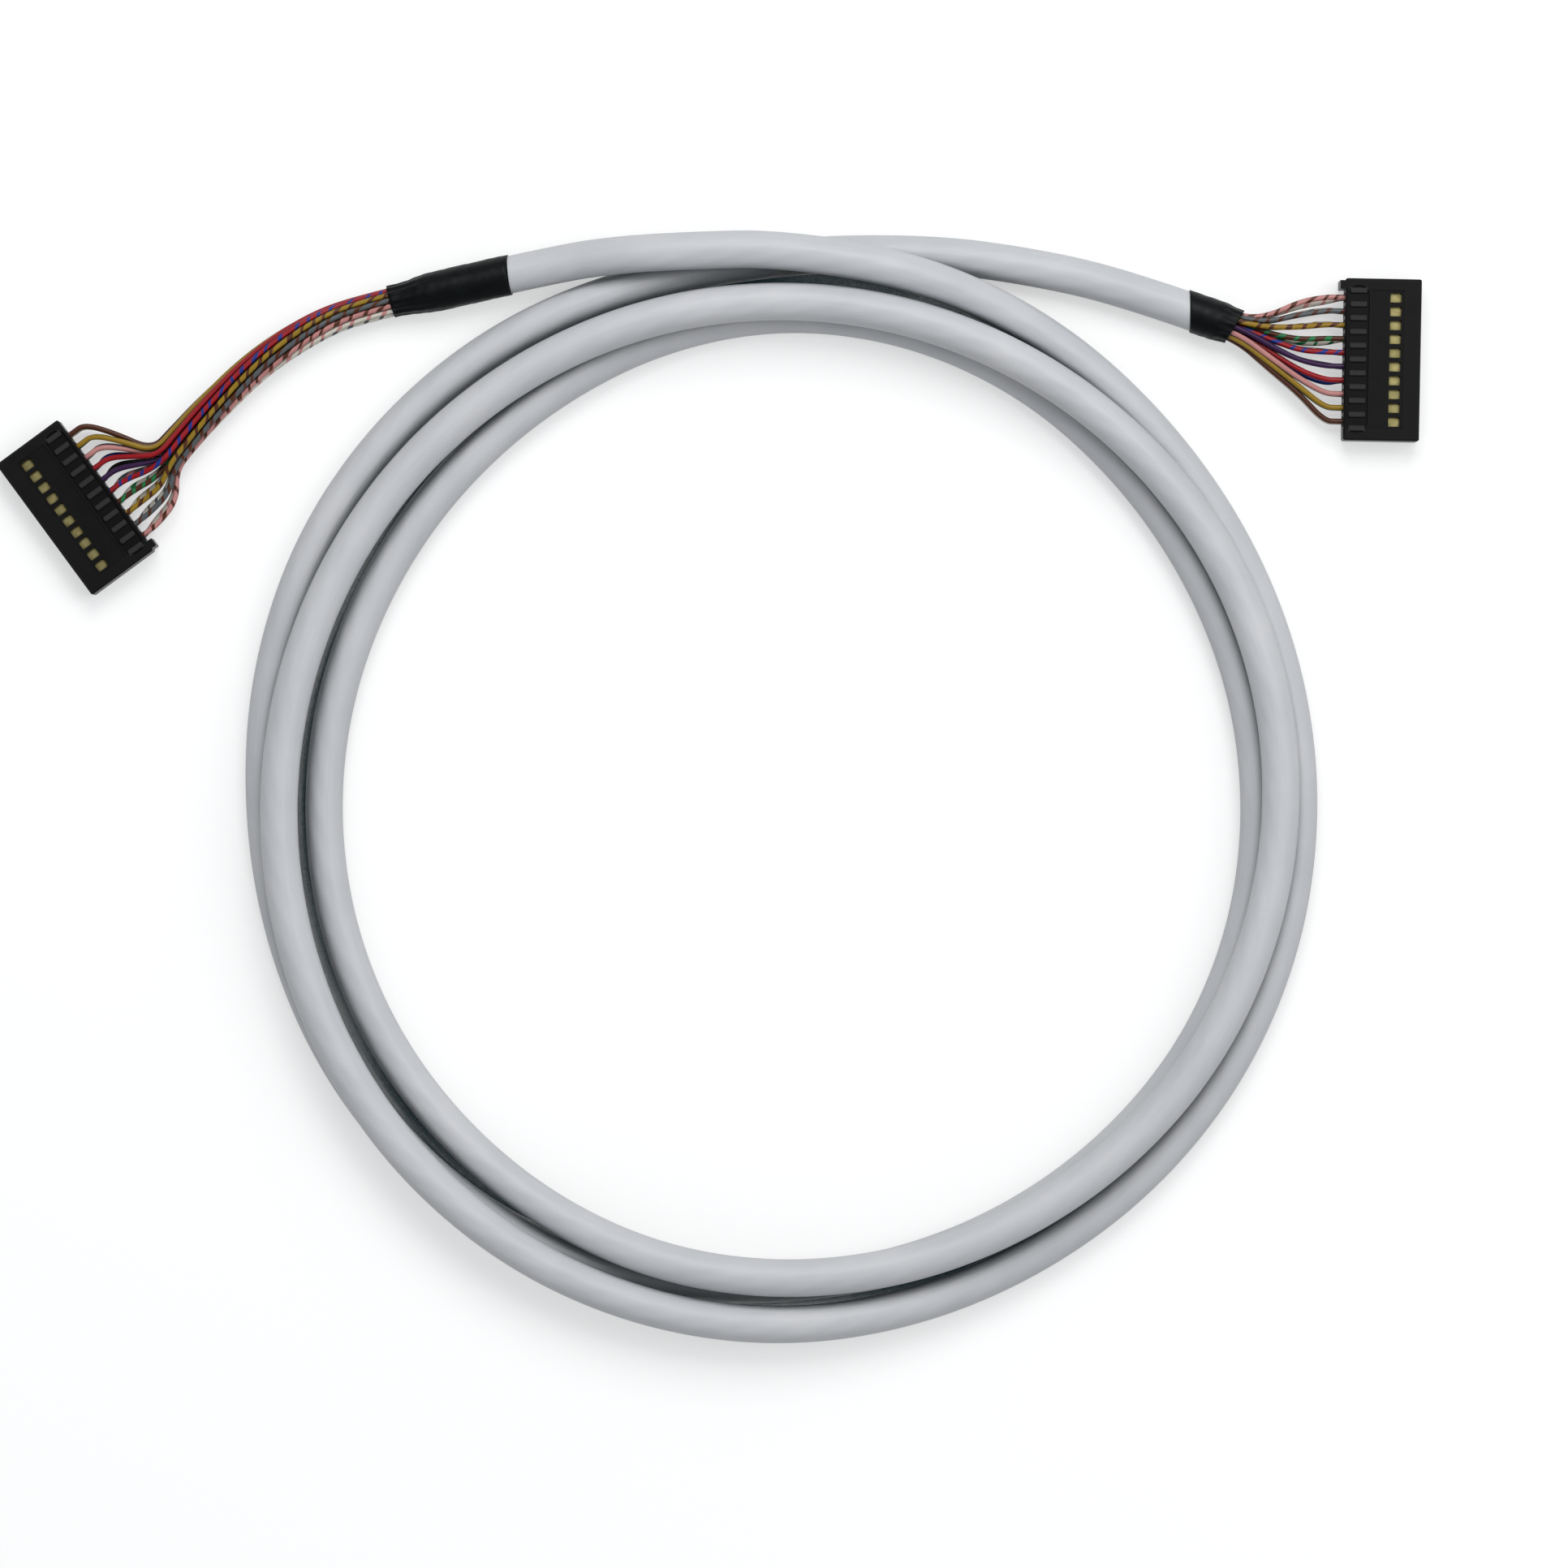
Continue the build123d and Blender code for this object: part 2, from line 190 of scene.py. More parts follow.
def noise(
    tree: NodeTree, place: NodeSocket, size: float, detail: float = 2.0, swirl: float = 0.0
) -> NodeSocket:
    """A soft uneven pattern from 0 to 1, with its size in the unit that the place has."""
    node = add_node(tree, "TexNoise", inputs={
        "Vector": place, "Scale": 1 / size, "Detail": detail, "Distortion": swirl})
    return node.outputs[0]


def bumped(tree: NodeTree, height: NodeSocket, strength: float, height_mm: float) -> NodeSocket:
    """The surface's normal, tilted by a pattern that is so many millimetres high."""
    node = add_node(tree, "Bump", inputs={
        "Height": height, "Strength": strength, "Distance": height_mm * MM})
    return node.outputs["Normal"]


def object_place(tree: NodeTree) -> NodeSocket:
    """Where on its piece each point lies, in metres."""
    return add_node(tree, "TexCoord").outputs["Object"]


def route_place(tree: NodeTree) -> tuple[NodeSocket, NodeSocket]:
    """How far round its cord each point lies, from 0 to 1, and how far along, in millimetres."""
    place = add_node(tree, "UVMap", {"uv_map": ROUTE_UV})
    axes = add_node(tree, "SeparateXYZ", inputs={"Vector": place.outputs["UV"]})
    return axes.outputs["X"], axes.outputs["Y"]


def finish_surface(tree: NodeTree, inputs: Inputs) -> None:
    """Ends a material's tree with a Principled shader that has these inputs."""
    shader = add_node(tree, "BsdfPrincipled", inputs=inputs)
    add_node(tree, "OutputMaterial", inputs={"Surface": shader.outputs["BSDF"]})


# ---- finishes


@dataclass(frozen=True)
class CreviceShade:
    """Painted shade: how a finish's colour is darkened where its neighbours shut it in, where shade
    falls.

    The reach is how near the neighbours have to be, in millimetres. From 0 to 1, a place is quite
    dark where it is as shut as the first share, and has its own colour where it is as open as the
    second. The samples are the rays that feel for the neighbours.
    """

    dark: str
    reach_mm: float
    shut: float
    open: float
    samples: int = 4

    def with_painted_shade(self, tree: NodeTree, colour: Value) -> NodeSocket:
        """Paints shade into a colour where the surface is shut in.

        Args:
            tree: Node tree of the material.
            colour: The colour in the open.

        Returns:
            The colour with the painted shade.
        """
        # painted shade: the dark colour is mixed in where few rays get out
        openness = add_node(tree, "AmbientOcclusion", {"samples": self.samples}, {
            "Distance": self.reach_mm * MM}).outputs["AO"]
        share = spread(tree, openness, (0.0, 1.0), (self.shut, self.open), "SMOOTHSTEP")
        return blend(tree, share, linear(self.dark), colour)


@dataclass(frozen=True)
class ExtrudedPvcJacket:
    """Soft PVC extruded over the cores: light grey and satin, as it comes cold from the die."""

    colour: str = "#C1C2C5"
    shade: str = "#B6B8BB"
    tone_range: Pair = (0.45, 0.95)
    # painted shade: the turns are darkened to this teal grey where they press together
    crevice_shade: CreviceShade = CreviceShade("#26383D", 9.0, 0.04, 0.5)
    roughness: Pair = (0.41, 0.54)
    mottle_mm: float = 16.0
    die_line_mm: float = 0.55
    die_line_stretch: float = 40.0
    die_line_tone: float = 0.4
    die_line_height: float = 0.5
    lay_mm: float = 62.0
    lay_lobes: int = 7
    lay_height_mm: float = 0.05

    def material(self) -> Material:
        """Builds the material. Faint lengthwise die lines and a slow mottle break up the highlight,
        the cores' lay shows through as a shallow spiral, and painted shade darkens the turns where
        they press together.

        Returns:
            The material.
        """
        material, tree = new_material("pvc_extruded_light_grey")
        around, along = route_place(tree)
        mottle = noise(tree, object_place(tree), self.mottle_mm * MM, 3.0)
        # a die line runs the length of the jacket, so it is drawn much longer than it is wide
        girth = math.pi * CableSizes().jacket
        stretched = add_node(tree, "CombineXYZ", inputs={
            "X": maths(tree, "MULTIPLY", around, girth / self.die_line_mm),
            "Y": maths(tree, "MULTIPLY", along, 1 / (self.die_line_stretch * self.die_line_mm))})
        lines = noise(tree, stretched.outputs[0], 1.0)
        tone = maths(tree, "MULTIPLY_ADD", lines, self.die_line_tone, mottle)
        colour = add_node(tree, "ValToRGB", inputs={"Fac": tone})
        stops = zip(colour.color_ramp.elements, self.tone_range, (self.shade, self.colour))
        for stop, position, grey in stops:
            stop.position = position
            stop.color = linear(grey)
        turns = maths(tree, "MULTIPLY_ADD", along, 1 / self.lay_mm, around)
        wave = maths(tree, "SINE", maths(tree, "MULTIPLY", turns, 2 * math.pi * self.lay_lobes))
        relief = maths(tree, "MULTIPLY_ADD", lines, self.die_line_height, wave)
        # painted shade in the base colour where the turns press together
        finish_surface(tree, {
            "Base Color": self.crevice_shade.with_painted_shade(tree, colour.outputs["Color"]),
            "Roughness": spread(tree, mottle, self.roughness),
            "IOR": 1.53, "Specular IOR Level": 0.4,
            "Normal": bumped(tree, relief, 0.35, self.lay_height_mm)})
        return material


@dataclass(frozen=True)
class ExtrudedCoreInsulation:
    """Thin coloured PVC extruded over the strands, with a printed spiral on the two-tone cores."""

    base: Hue
    mark: Hue | None = None
    # painted shade: the cores are darkened to near black in the narrow gaps between them
    crevice_shade: CreviceShade = CreviceShade("#0B0B0C", 2.0, 0.1, 0.62)
    roughness: float = 0.38
    grime_mm: float = 3.0
    grime_level: float = 0.72
    spiral_mm: float = 2.9
    spiral_share: float = 0.32
    wander: float = 1.8
    wander_mm: float = 6.0
    pair_phases: Pair = (0.37, 0.23)
    strand_mm: float = 0.6
    strand_height_mm: float = 0.05

    @property
    def name(self) -> str:
        """Colours of the core as one word."""
        return self.base.name.lower() + (f"_{self.mark.name.lower()}" if self.mark else "")

    def material(self) -> Material:
        """Builds the material. Handling leaves darker tones a few millimetres long, and the strands
        under it make the surface slightly uneven.

        Returns:
            The material.
        """
        material, tree = new_material(f"pvc_insulation_{self.name}")
        place = object_place(tree)
        clean = linear(self.base.value)
        handled = (*(self.grime_level * part for part in clean[:3]), 1.0)
        colour = blend(tree, noise(tree, place, self.grime_mm * MM), clean, handled)
        if self.mark:
            colour = self.printed(tree, place, colour)
        strands = noise(tree, place, self.strand_mm * MM, 1.0)
        # painted shade in the base colour between neighbouring cores
        finish_surface(tree, {
            "Base Color": self.crevice_shade.with_painted_shade(tree, colour), "Roughness": self.roughness,
            "IOR": 1.53, "Specular IOR Level": 0.3,
            "Normal": bumped(tree, strands, 0.25, self.strand_height_mm)})
        return material

    def printed(self, tree: NodeTree, place: NodeSocket, colour: NodeSocket) -> NodeSocket:
        """Prints the spiral. It runs unevenly, and differently on each pair of colours.

        Args:
            tree: Node tree of the material.
            place: Where on the piece each point lies.
            colour: Colour of the insulation.

        Returns:
            The colour with the print on it.
        """
        around, along = route_place(tree)
        hues = list(Hue)
        pair = zip(self.pair_phases, (self.base, self.mark))
        start = sum(phase * hues.index(hue) for phase, hue in pair)
        drift = noise(tree, place, self.wander_mm * MM, 1.0)
        wandering = maths(tree, "MULTIPLY_ADD", drift, self.wander, around)
        shifted = maths(tree, "ADD", wandering, start)
        turns = maths(tree, "MULTIPLY_ADD", along, 1 / self.spiral_mm, shifted)
        mark = maths(tree, "LESS_THAN", maths(tree, "FRACT", turns), self.spiral_share)
        return blend(tree, mark, colour, linear(self.mark.value))


@dataclass(frozen=True)
class ShrunkPolyolefinSleeve:
    """Cross-linked polyolefin tubing shrunk with hot air: black, soft and slightly crinkled."""

    colour: str = "#090B0C"
    worn: str = "#101416"
    roughness: Pair = (0.34, 0.54)
    crinkle_mm: float = 1.4
    crinkle_height_mm: float = 0.12

    def material(self) -> Material:
        """Builds the material. The crinkle makes its dull sheen patchy.

        Returns:
            The material.
        """
        material, tree = new_material("polyolefin_heat_shrunk_black")
        crinkle = noise(tree, object_place(tree), self.crinkle_mm * MM, 4.0)
        finish_surface(tree, {
            "Base Color": blend(tree, crinkle, linear(self.colour), linear(self.worn)),
            "Roughness": spread(tree, crinkle, self.roughness),
            "IOR": 1.49, "Specular IOR Level": 0.14,
            "Normal": bumped(tree, crinkle, 0.5, self.crinkle_height_mm)})
        return material


@dataclass(frozen=True)
class MouldedPbtHousing:
    """Glass-filled PBT moulded in a spark-eroded tool: black, dense and finely matt."""

    colour: str = "#0A0A0B"
    # painted light: the highest faces take this lighter black, standing for shade in the recesses
    top_face_light: str = "#141414"
    top_face_light_heights_mm: Pair = (5.64, 6.04)
    top_face_light_share: Pair = (0.7, 1.0)
    # painted highlight: the tops of the grip ribs take this grey as a sheen
    rib_top_highlight: str = "#2C2C2B"
    roughness: Pair = (0.3, 0.48)
    grain_mm: float = 0.35
    grain_height_mm: float = 0.05
    flow_mm: float = 4.0
    flow_swirl: float = 0.8

    def material(self, side: Side) -> Material:
        """Builds the material. The tool's grain is drawn about four times as coarse as it is, so
        that it shows, and the glass leaves faint flow marks in the gloss. The highest faces are
        painted a little greyer than the recesses, which is painted shade in the recesses, and the
        tops of the grip ribs get a painted highlight.

        Args:
            side: The end of the cable that the housing is on.

        Returns:
            The material.
        """
        material, tree = new_material(f"pbt_glass_filled_moulded_black_{side.value}")
        place = object_place(tree)
        grain = noise(tree, place, self.grain_mm * MM)
        flow = noise(tree, place, self.flow_mm * MM, 3.0, self.flow_swirl)
        spot = add_node(tree, "NewGeometry").outputs["Position"]
        height = add_node(tree, "SeparateXYZ", inputs={"Vector": spot}).outputs["Z"]
        # painted shade: faces between these heights are lighter than the recesses below them
        low, high = self.top_face_light_heights_mm
        raised = spread(tree, height, (0.0, 1.0), (low * MM, high * MM))
        share = maths(tree, "MULTIPLY", raised, spread(tree, flow, self.top_face_light_share))
        colour = blend(tree, share, linear(self.colour), linear(self.top_face_light))
        # painted highlight on the tops of the grip ribs
        ribs = self.rib_tops(tree, side, spot, raised)
        finish_surface(tree, {
            "Base Color": blend(tree, ribs, colour, linear(self.rib_top_highlight)),
            "Roughness": spread(tree, flow, self.roughness),
            "IOR": 1.5, "Specular IOR Level": 0.12,
            "Normal": bumped(tree, grain, 0.3, self.grain_height_mm)})
        return material

    @staticmethod
    def rib_tops(tree: NodeTree, side: Side, spot: NodeSocket, raised: NodeSocket) -> NodeSocket:
        """Finds the tops of the grip ribs: the only high faces in a rectangle near the wire side.

        Args:
            tree: Node tree of the material.
            side: The end of the cable that the housing is on.
            spot: Where in the scene each point lies.
            raised: 1 on the high faces.

        Returns:
            1 on the tops of the ribs, and 0 elsewhere.
        """
        sizes, place = HousingSizes(), PLACES[side]
        start, end = sizes.ribs
        half_row = (sizes.columns * sizes.pitch + sizes.rib_width) / 2
        inboard = place.mating * ((start + end - sizes.depth) / 2)
        middle = CableRoute().placed([Vector((*place.middle, 0)) + inboard])[0]
        for axis, half in ((place.mating, (end - start) / 2), (UP.cross(place.mating), half_row)):
            reach = add_node(tree, "VectorMath", {"operation": "DOT_PRODUCT"}, {
                0: spot, 1: tuple(axis)}).outputs["Value"]
            within = maths(tree, "COMPARE", reach, middle.dot(axis), half * MM)
            raised = maths(tree, "MULTIPLY", raised, within)
        return raised


@dataclass(frozen=True)
class StampedBronzeContact:
    """Phosphor bronze strip, stamped and gold-flashed: pale gold with a dull, rolled surface."""

    colour: str = "#C9BF86"
    shade: str = "#7E7448"
    # painted shade: the gold is darkened where the housing closes in round it
    crevice_shade: CreviceShade = CreviceShade("#15130B", 1.2, 0.0, 0.85)
    roughness: Pair = (0.34, 0.54)
    rolling_mm: float = 0.12
    rolling_stretch: float = 8.0
    tarnish_mm: float = 1.2

    def material(self) -> Material:
        """Builds the material. Rolling leaves fine lines, and the flash is thinner in places.

        Returns:
            The material.
        """
        material, tree = new_material("phosphor_bronze_stamped_gold_flashed")
        place = object_place(tree)
        lines = add_node(tree, "Mapping", inputs={
            "Vector": place, "Scale": (1.0, self.rolling_stretch, 1.0)}).outputs["Vector"]
        rolled = noise(tree, lines, self.rolling_stretch * self.rolling_mm * MM)
        tarnish = noise(tree, place, self.tarnish_mm * MM)
        colour = blend(tree, tarnish, linear(self.colour), linear(self.shade))
        # painted shade in the base colour near the window walls
        finish_surface(tree, {
            "Base Color": self.crevice_shade.with_painted_shade(tree, colour),
            "Roughness": spread(tree, rolled, self.roughness), "Metallic": 1.0})
        return material


@dataclass(frozen=True)
class PaintedFloor:
    """White painted board, smooth and matt."""

    bounce: float = 0.55
    glow: float = 0.5
    # painted shade: deep between the coil's turns the floor seen by the camera is darkened to this
    # teal black
    crevice_shade: CreviceShade = CreviceShade("#1C2C30", 12.0, 0.2, 0.42, 16)
    coil_radius_mm: float = 89.0
    coil_reach_mm: float = 12.0

    def material(self) -> Material:
        """Builds the material. Where the floor itself is seen it is a full white with the shadows
        kept faint, and deep down between the turns of the coil it is darkened with painted shade.
        What it throws back onto the cable is held down to a plain grey.

        Returns:
            The material.
        """
        material, tree = new_material("board_painted_white")
        rays = add_node(tree, "LightPath").outputs
        seen = rays["Is Camera Ray"]
        for kind in ("Is Glossy Ray", "Is Transmission Ray"):
            seen = maths(tree, "MAXIMUM", seen, rays[kind])
        glow = maths(tree, "MULTIPLY", seen, self.glow)
        level = spread(tree, seen, (self.bounce, 1 - self.glow))
        spot = add_node(tree, "NewGeometry").outputs["Position"]
        centre = CableRoute().placed([Vector((0, 0, 0))])[0]
        radius = add_node(tree, "VectorMath", {"operation": "DISTANCE"}, {
            0: spot, 1: tuple(centre)}).outputs["Value"]
        # painted shade: only in this ring under the coil, and only for camera rays, is the floor
        # darkened
        under_coil = maths(
            tree, "COMPARE", radius, self.coil_radius_mm * MM, self.coil_reach_mm * MM)
        in_gap = maths(tree, "MULTIPLY", under_coil, rays["Is Camera Ray"])
        white = linear("#FFFFFF")
        # the second board carries the painted shade
        boards = [
            add_node(tree, "BsdfPrincipled", inputs={
                "Base Color": blend(tree, level, linear("#000000"), tone), "Roughness": 0.9,
                "Specular IOR Level": 0.0, "Emission Color": tone, "Emission Strength": glow})
            for tone in (white, self.crevice_shade.with_painted_shade(tree, white))
        ]
        mix = add_node(tree, "MixShader", inputs={
            0: in_gap, 1: boards[0].outputs[0], 2: boards[1].outputs[0]})
        add_node(tree, "OutputMaterial", inputs={"Surface": mix.outputs[0]})
        return material


# ---- routes


@dataclass(frozen=True)
class CableSizes:
    """Sizes of the cable and its cores, in millimetres.

    The cores lie in two rings about a middle one. Each ring is turned by a share of its own step.
    """

    jacket: float = 6.9
    core: float = 1.0
    core_spacing: float = 1.04
    inner_ring: int = 6
    outer_ring: int = 13
    ring_turn: float = 0.25
    sleeve_wall: float = 0.22
    sleeve_fit: float = 0.05
    rest_gap: float = 0.1
    neck_looseness: float = 1.35

    def ring_radius(self, count: int) -> float:
        """Radius through the middles of a ring of touching cores."""
        return self.core_spacing / (2 * math.sin(math.pi / count))

    @property
    def bundle_radius(self) -> float:
        """Outside radius of the tight bundle of cores."""
        return self.ring_radius(self.outer_ring) + self.core / 2

    @property
    def sleeve_radius(self) -> float:
        """Outside radius of a sleeve over the jacket."""
        return self.jacket / 2 + self.sleeve_fit + self.sleeve_wall

    @property
    def neck_height(self) -> float:
        """Height of the middle of the loosened bundle where it rests on the surface."""
        loosened = (self.bundle_radius - self.core / 2) * self.neck_looseness
        return loosened + self.core / 2 + self.rest_gap

    def packing(self) -> list[Pair]:
        """Places each core in the bundle's cross-section: one in the middle and two rings.

        Returns:
            Sideways and upward place of each core.
        """
        spots = [(0.0, 0.0)]
        for count in (self.inner_ring, self.outer_ring):
            for k in range(count):
                angle = 2 * math.pi * (k + self.ring_turn) / count
                radius = self.ring_radius(count)
                spots.append((radius * math.cos(angle), radius * math.sin(angle)))
        return spots


Key = tuple[float, float, float]


@dataclass(frozen=True)
class CableRoute:
    """How the cable lies: three loose turns, with the left tail climbing over the right one.

    The lay gives the winding angle clockwise from the top in degrees, the radius, and the height
    above the surface in cable diameters.
    """

    centre: Pair = (13.26, -70.73)
    step: int = 15
    lay: tuple[Key, ...] = (
        (0, 101.9, 1.08), (15, 101.0, 0.95), (30, 99.5, 0.4), (45, 97.4, 0.04), (60, 96.2, 0.0),
        (90, 95.3, 0.0), (105, 95.2, 0.0), (120, 95.0, 0.0), (150, 94.4, 0.05), (165, 94.6, 0.3),
        (180, 94.9, 0.62), (195, 94.7, 0.88), (210, 94.3, 1.02), (240, 93.0, 1.04),
        (270, 92.2, 0.99), (285, 92.2, 0.9), (300, 92.4, 0.8), (330, 93.0, 0.78),
        (345, 93.1, 0.93), (360, 93.0, 1.01), (375, 93.0, 1.05), (390, 92.9, 1.03),
        (420, 92.8, 0.98), (450, 91.6, 0.98), (465, 90.6, 1.04), (480, 89.6, 1.06),
        (495, 88.3, 1.06), (510, 87.2, 1.06), (525, 86.5, 1.06), (540, 86.1, 1.06),
        (555, 85.8, 1.02), (570, 85.2, 0.55), (585, 84.7, 0.12), (600, 84.5, 0.0),
        (630, 84.3, 0.0), (660, 84.9, 0.0), (690, 87.4, 0.0), (705, 89.6, 0.0), (720, 91.2, 0.0),
        (735, 91.3, 0.0), (750, 90.5, 0.0), (765, 89.0, 0.0), (780, 88.2, 0.0), (810, 88.0, 0.0),
        (825, 88.1, 0.0), (840, 87.9, 0.0), (855, 87.2, 0.0), (870, 86.8, 0.0), (885, 86.8, 0.0),
        (900, 87.4, 0.0), (915, 89.7, 0.0), (930, 92.3, 0.0), (945, 93.6, 0.0), (960, 94.0, 0.0),
        (975, 94.3, 0.0), (990, 95.1, 0.0), (1020, 98.8, 0.0), (1050, 100.2, 0.0),
        (1065, 99.8, 0.0), (1080, 101.1, 0.0),
    )
    left_tail: tuple[Key, ...] = (
        (-62.3, 95.6, 0.0), (-41.0, 100.4, 1.2), (-30.0, 101.7, 4.9), (-17.5, 102.3, 7.1))
    right_tail: tuple[Key, ...] = (
        (26.8, 102.4, 0.0), (45.5, 100.0, 0.05), (62.9, 96.1, 0.3), (79.9, 90.0, 0.5))
    sizes: CableSizes = field(default_factory=CableSizes)

    def slopes(self, column: int) -> list[float]:
        """Slopes of one column of the lay, level at its turning points.

        Args:
            column: 1 for the radius, 2 for the height.

        Returns:
            One slope for each key.
        """
        steps = [
            (after[column] - before[column]) / (after[0] - before[0])
            for before, after in zip(self.lay, self.lay[1:])
        ]
        inner = [0.0 if a * b <= 0 else 2 * a * b / (a + b) for a, b in zip(steps, steps[1:])]
        return [steps[0]] + inner + [steps[-1]]

    def eased(self, column: int, at: float) -> float:
        """Value of one column of the lay at an angle, on a smooth curve through its keys.

        Args:
            column: 1 for the radius, 2 for the height.
            at: Winding angle in degrees.

        Returns:
            The radius in millimetres, or the height in cable diameters.
        """
        rises = self.slopes(column)
        i = max(k for k in range(len(self.lay) - 1) if k == 0 or self.lay[k][0] < at)
        before, after = self.lay[i], self.lay[i + 1]
        width = after[0] - before[0]
        t = (at - before[0]) / width
        start = (1 + 2 * t) * (1 - t) ** 2 * before[column] + t * (1 - t) ** 2 * width * rises[i]
        end = t * t * (3 - 2 * t) * after[column] - t * t * (1 - t) * width * rises[i + 1]
        return start + end

    def coil(self) -> Points:
        """Works out the corners of the three turns.

        Returns:
            The corners about the ring's centre, one for each step of the winding angle.
        """
        reach = 1 / math.cos(math.radians(self.step / 2))
        corners = []
        for angle in range(0, int(self.lay[-1][0]) + 1, self.step):
            radius = self.eased(1, angle) * reach
            height = (0.5 + self.eased(2, angle)) * self.sizes.jacket
            turn = math.radians(angle)
            corners.append(Vector((radius * math.sin(turn), radius * math.cos(turn), height)))
        return corners

    def tail(self, side: Side) -> Points:
        """Corners of one tail, from left to right, about the ring's centre."""
        if side is Side.LEFT:
            keys, base = self.left_tail, self.sizes.sleeve_radius + self.sizes.rest_gap
        else:
            keys, base = self.right_tail, self.sizes.jacket / 2
        return [Vector((x, y, z + base)) for x, y, z in keys]

    def corners(self) -> Points:
        """Corners of the whole cable, from the left jacket end to the right one."""
        return self.tail(Side.LEFT) + self.coil() + self.tail(Side.RIGHT)

    def jacket_end(self, side: Side) -> tuple[Vector, Vector]:
        """Finds where a jacket is cut and which way its cores leave it.

        Args:
            side: The end of the cable.

        Returns:
            The middle of the cut and the outward direction.
        """
        tail = self.tail(side)
        tip, inboard = (tail[0], tail[1]) if side is Side.LEFT else (tail[-1], tail[-2])
        return tip, (tip - inboard).normalized()

    def placed(self, points: Points) -> Points:
        """The points in the part's frame, in metres."""
        return [(p + Vector((*self.centre, 0))) * MM for p in points]


Station = tuple[Pair, float, float]


@dataclass(frozen=True)
class FanLine:
    """A line that the spread cores cross side by side, about the ring's centre.

    It runs from the first column's core to the last one's, and bows towards its middle point. The
    two rows cross it at their own heights, and keep some of the bundle's thickness. The lean is how
    far the lower cores lie beside the upper ones there, in columns.
    """

    first: Pair
    middle: Pair
    last: Pair
    lower: float
    upper: float
    lean: float
    thickness: float = 0.6

    def place(self, share: float, row: int, rise: float) -> Vector:
        """Finds where one core crosses the line.

        Args:
            share: How far along the line it crosses, from 0 to 1.
            row: 0 for the lower row of the connector, 1 for the upper one.
            rise: How far it lay above the middle of its row's cores in the bundle, in millimetres.

        Returns:
            The place, in millimetres.
        """
        weights = ((1 - share) ** 2, 2 * share * (1 - share), share ** 2)
        ends = (self.first, self.middle, self.last)
        x, y = (sum(w * end[k] for w, end in zip(weights, ends)) for k in (0, 1))
        height = (self.lower, self.upper)[row] + self.thickness * rise
        return Vector((x, y, height))


@dataclass(frozen=True)
class ConnectorPlace:
    """Where a connector lies and how its cores reach it, about the ring's centre.

    A station is the middle of the bundle, how far it has turned in degrees and how loose it is. The
    bundle leaves the jacket turned by the first of two angles, and the neck is turned by the other.
    The cores then fan out over the lines. The lean is how far the lower row's cores lie beside the
    upper ones where they reach the connector, in columns: all on one side, so that they fill the
    gaps, or to either side.
    """

    middle: Pair
    mating_deg: float
    lead: float
    jacket_deg: float
    neck_deg: float
    stations: tuple[Station, ...]
    lines: tuple[FanLine, ...]
    entry: float
    lean: float
    one_sided: bool

    @property
    def mating(self) -> Vector:
        """Direction in which the connector is pushed onto its header."""
        turn = math.radians(self.mating_deg)
        return Vector((math.cos(turn), math.sin(turn), 0))


PLACES = {
    Side.LEFT: ConnectorPlace(
        middle=(-130.1, 55.4), mating_deg=216.3, lead=16.0, jacket_deg=146, neck_deg=80,
        stations=(
            ((-86.8, 88.5), 130, 1.1), ((-96.6, 82.0), 112, 1.15), ((-105.3, 73.7), 94, 1.2),
            ((-110.4, 68.1), 86, 1.25), ((-113.8, 64.2), 80, 1.35)),
        lines=(FanLine((-122.5, 69.0), (-117.8, 62.6), (-111.4, 56.8), 2.1, 4.9, 0.42),),
        entry=3.5, lean=0.42, one_sided=True),
    Side.RIGHT: ConnectorPlace(
        middle=(110.6, 82.6), mating_deg=-1.1, lead=4.8, jacket_deg=0, neck_deg=0,
        stations=(),
        lines=(
            FanLine((89.6, 81.2), (89.8, 85.8), (90.0, 90.8), 2.6, 5.0, 0.0),
            FanLine((95.3, 76.5), (95.1, 81.9), (95.6, 93.4), 2.2, 4.9, 0.3)),
        entry=3.4, lean=0.3, one_sided=False),
}


@dataclass(frozen=True)
class HousingSizes:
    """Sizes of the two-row socket connector that the cores have to meet, in millimetres."""

    pitch: float = 2.54
    columns: int = 10
    depth: float = 14.0
    thickness: float = 6.1
    insertion: float = 3.8
    ribs: Pair = (0.85, 4.05)
    rib_width: float = 1.1


